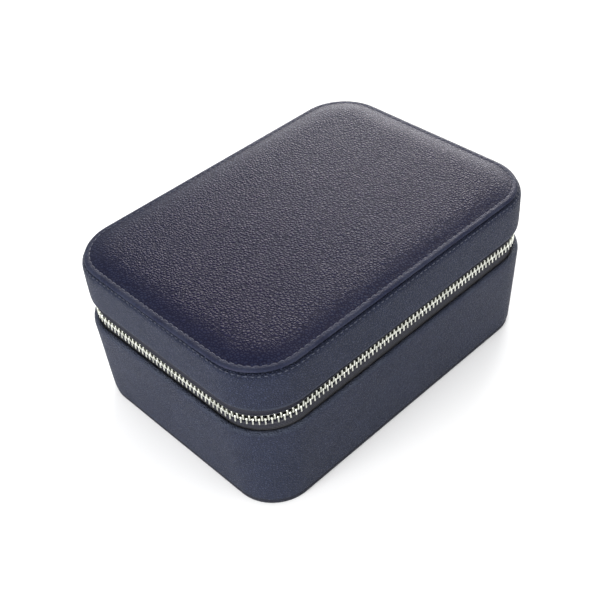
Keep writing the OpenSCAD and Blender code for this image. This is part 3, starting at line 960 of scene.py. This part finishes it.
def mirror_frame():
    """Leather-wrapped frame round the mirror, with a rolled lip over the glass."""
    low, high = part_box("mirror_frame")
    centre_y = (low.y + high.y) / 2
    half_x, half_y = (high.x - low.x) / 2, (high.y - low.y) / 2
    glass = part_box("mirror")[0].z / MM
    z0, z1 = low.z / MM, high.z / MM
    radius = 9.0 * MM

    def ring(z, inset, closed=True):
        points = outline(half_x - inset, half_y - inset, max(radius - inset, 1.0 * MM))
        return [(x, y + centre_y, nx, ny) for x, y, nx, ny in points]

    profile = [(0.0, z1), (0.0, z0 + 0.9), (0.3, z0 + 0.3), (1.0, z0), (2.2, z0), (4.2, z0 + 0.02),
               (5.6, z0 + 0.08), (6.5, z0 + 0.3), (6.9, glass - 0.08), (4.95, glass - 0.06), (4.95, z1)]
    piece = loft("mirror_frame_leather", ring, profile)
    finish_piece(piece, "lid", EDGE_LEATHER, "wall_leather", "mirror_frame")
    inset = 2.2 * MM
    stops = walk(half_x - inset, half_y - inset, radius - inset, 3.0 * MM, 0.0)
    places = [(Vector((place.x, place.y + centre_y, low.z)), normal, -UP) for place, normal in stops]
    stitch_row("mirror_frame_stitching", places, 2.3 * MM, 0.18 * MM, "lid", THREAD, "wall_leather")


def lid_pocket():
    """Gathered cloth pocket: sewn down on three sides, drawn in by elastic along its mouth."""
    low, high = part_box("lid_pocket")
    columns, rows = 150, 26
    width, depth = high.x - low.x, high.y - low.y
    fullness = high.z - low.z - 1.25 * MM
    thick, back_gap = 0.5 * MM, 0.17 * MM
    side_fade, seam_fade = 7 * MM, 6 * MM
    random.seed(12)
    waves = [(random.uniform(0.0, 6.28), random.uniform(0.8, 1.2)) for _ in range(4)]
    verts = []
    for side in (0, 1):
        for j in range(rows + 1):
            v = j / rows
            for i in range(columns + 1):
                u = i / columns
                sewn = min(u, 1 - u) * width
                hold = min(sewn / side_fade, 1.0) * min((1 - v) * depth / seam_fade, 1.0)
                hold = math.sin(hold * math.pi / 2)
                puff = fullness * hold * (0.6 + 0.4 * v)
                gather = 0.0
                for k, (phase, pace) in enumerate(waves):
                    gather += math.sin(2 * math.pi * u * (17 + 5 * k) * pace + phase + 1.3 * v * k)
                gather *= 0.2 * MM * hold * (0.45 + 0.55 * v)
                z = high.z - back_gap - puff - gather - side * thick
                verts.append((low.x + width * u, low.y + depth * v, z))
    pocket = add_mesh("lid_pocket_cloth", verts, sheet_faces(columns, rows))
    finish_piece(pocket, "lid", ELASTIC, "elastic", "lid_pocket")
    mouth = verts[len(verts) // 2:][:columns + 1]
    hem_rows = []
    for x, y, z in mouth:
        hem_rows.append([(x, y + 0.7 * MM * math.cos(a), z + 0.15 * MM + 0.55 * MM * math.sin(a))
                         for a in (math.pi * k / 4 for k in range(8))])
    hem = add_mesh("lid_pocket_hem", *sections(hem_rows))
    finish_piece(hem, "lid", ELASTIC, "elastic")


# ---------------------------------------------------------------- build

base_cover()
bottom_panel()
lid_cover()
lid_panel()
lid_wall_stitches()
zip_tape("zip_tape_lower_cloth", "zip_tape_lower", CHAIN_Z - CHAIN_W / 2 + 0.6 * MM, RIM_Z - 3.9 * MM, "base")
zip_tape("zip_tape_upper_cloth", "zip_tape_upper", CHAIN_Z + CHAIN_W / 2 - 0.6 * MM, LID_Z + 3.9 * MM, "lid")
zip_teeth()
crimp_stops()
soften("slider", 0.35 * MM)
soften("puller", 0.3 * MM)
spine("spine_leather", "spine", CASE_Y - 0.5 * MM, 1.2 * MM, WALL_LEATHER, "wall_leather")
spine("spine_lining_suede", "spine_lining", CASE_Y - 4.0 * MM, 0.9 * MM, LINING, "suede")
base_lining()
inside_of_base()
lid_lining()
mirror_frame()
lid_pocket()

# CAD nodes that stay: what is sealed inside, the slider, its pull tab and the mirror
kept = {"base_walls": BOARD, "base_floor": BOARD, "lid_walls": BOARD, "lid_board": BOARD, "lid_filler": BOARD,
        "panel_card": BOARD, "lid_foam": FOAM, "slider": PLATED, "puller": PLATED, "mirror": SILVERED}
for node_name, material in kept.items():
    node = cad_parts[node_name]
    node.data.materials.clear()
    node.data.materials.append(material)


# ---------------------------------------------------------------- floor, light and camera


def make_floor():
    mesh = bpy.data.meshes.new("floor")
    half = 4.0
    corners = [(-half, -half, 0), (half, -half, 0), (half, half, 0), (-half, half, 0)]
    mesh.from_pydata(corners, [], [(0, 1, 2, 3)])
    mesh.materials.append(FLOOR)
    floor = bpy.data.objects.new("floor", mesh)
    bpy.context.scene.collection.objects.link(floor)


def area_light(name, place, aim, size, power):
    data = bpy.data.lights.new(name, "AREA")
    data.shape = "RECTANGLE"
    data.size, data.size_y = size
    data.energy = power
    light = bpy.data.objects.new(name, data)
    light.location = place
    light.rotation_mode = "QUATERNION"
    light.rotation_quaternion = (Vector(aim) - Vector(place)).to_track_quat("-Z", "Y")
    bpy.context.scene.collection.objects.link(light)


def make_world(strength):
    world = bpy.data.worlds.new("studio")
    world.use_nodes = True
    background = world.node_tree.nodes["Background"]
    background.inputs["Color"].default_value = (1.0, 1.0, 1.0, 1.0)
    background.inputs["Strength"].default_value = strength
    bpy.context.scene.world = world


def make_camera():
    """Camera at the photographed angle: over the front left corner, tipped a little to one side."""
    azimuth, elevation, roll = math.radians(-41.33), math.radians(41.39), math.radians(-4.94)
    distance = 464.5 * MM
    target = Vector((MID_X - 10.35 * MM, -3.4 * MM, 37.8 * MM))
    back = Vector((math.sin(azimuth) * math.cos(elevation), -math.cos(azimuth) * math.cos(elevation),
                   math.sin(elevation)))
    right = Vector((math.cos(azimuth), math.sin(azimuth), 0))
    up = back.cross(right)
    x_axis = right * math.cos(roll) + up * math.sin(roll)
    y_axis = up * math.cos(roll) - right * math.sin(roll)
    data = bpy.data.cameras.new("camera")
    data.sensor_width = 36.0
    data.lens = 61.17
    data.clip_start, data.clip_end = 0.02, 20.0
    camera = bpy.data.objects.new("camera", data)
    camera.matrix_world = frame_matrix(target + back * distance, x_axis, y_axis, back)
    bpy.context.scene.collection.objects.link(camera)
    bpy.context.scene.camera = camera


make_floor()
area_light("key", (1.25, 0.95, 0.5), (0.02, 0.02, 0.07), (1.1, 0.4), 30.0)
area_light("overhead", (0.5, 0.4, 1.6), (0, 0, 0.04), (1.2, 1.2), 1.5)
area_light("fill_left", (-1.2, -0.1, 0.4), (0, 0, 0.04), (0.8, 0.6), 17.0)
area_light("fill_front", (0.3, -1.3, 0.4), (0, 0, 0.04), (0.9, 0.6), 6.0)
make_world(1.0)
make_camera()
bpy.context.scene.view_settings.view_transform = "Standard"
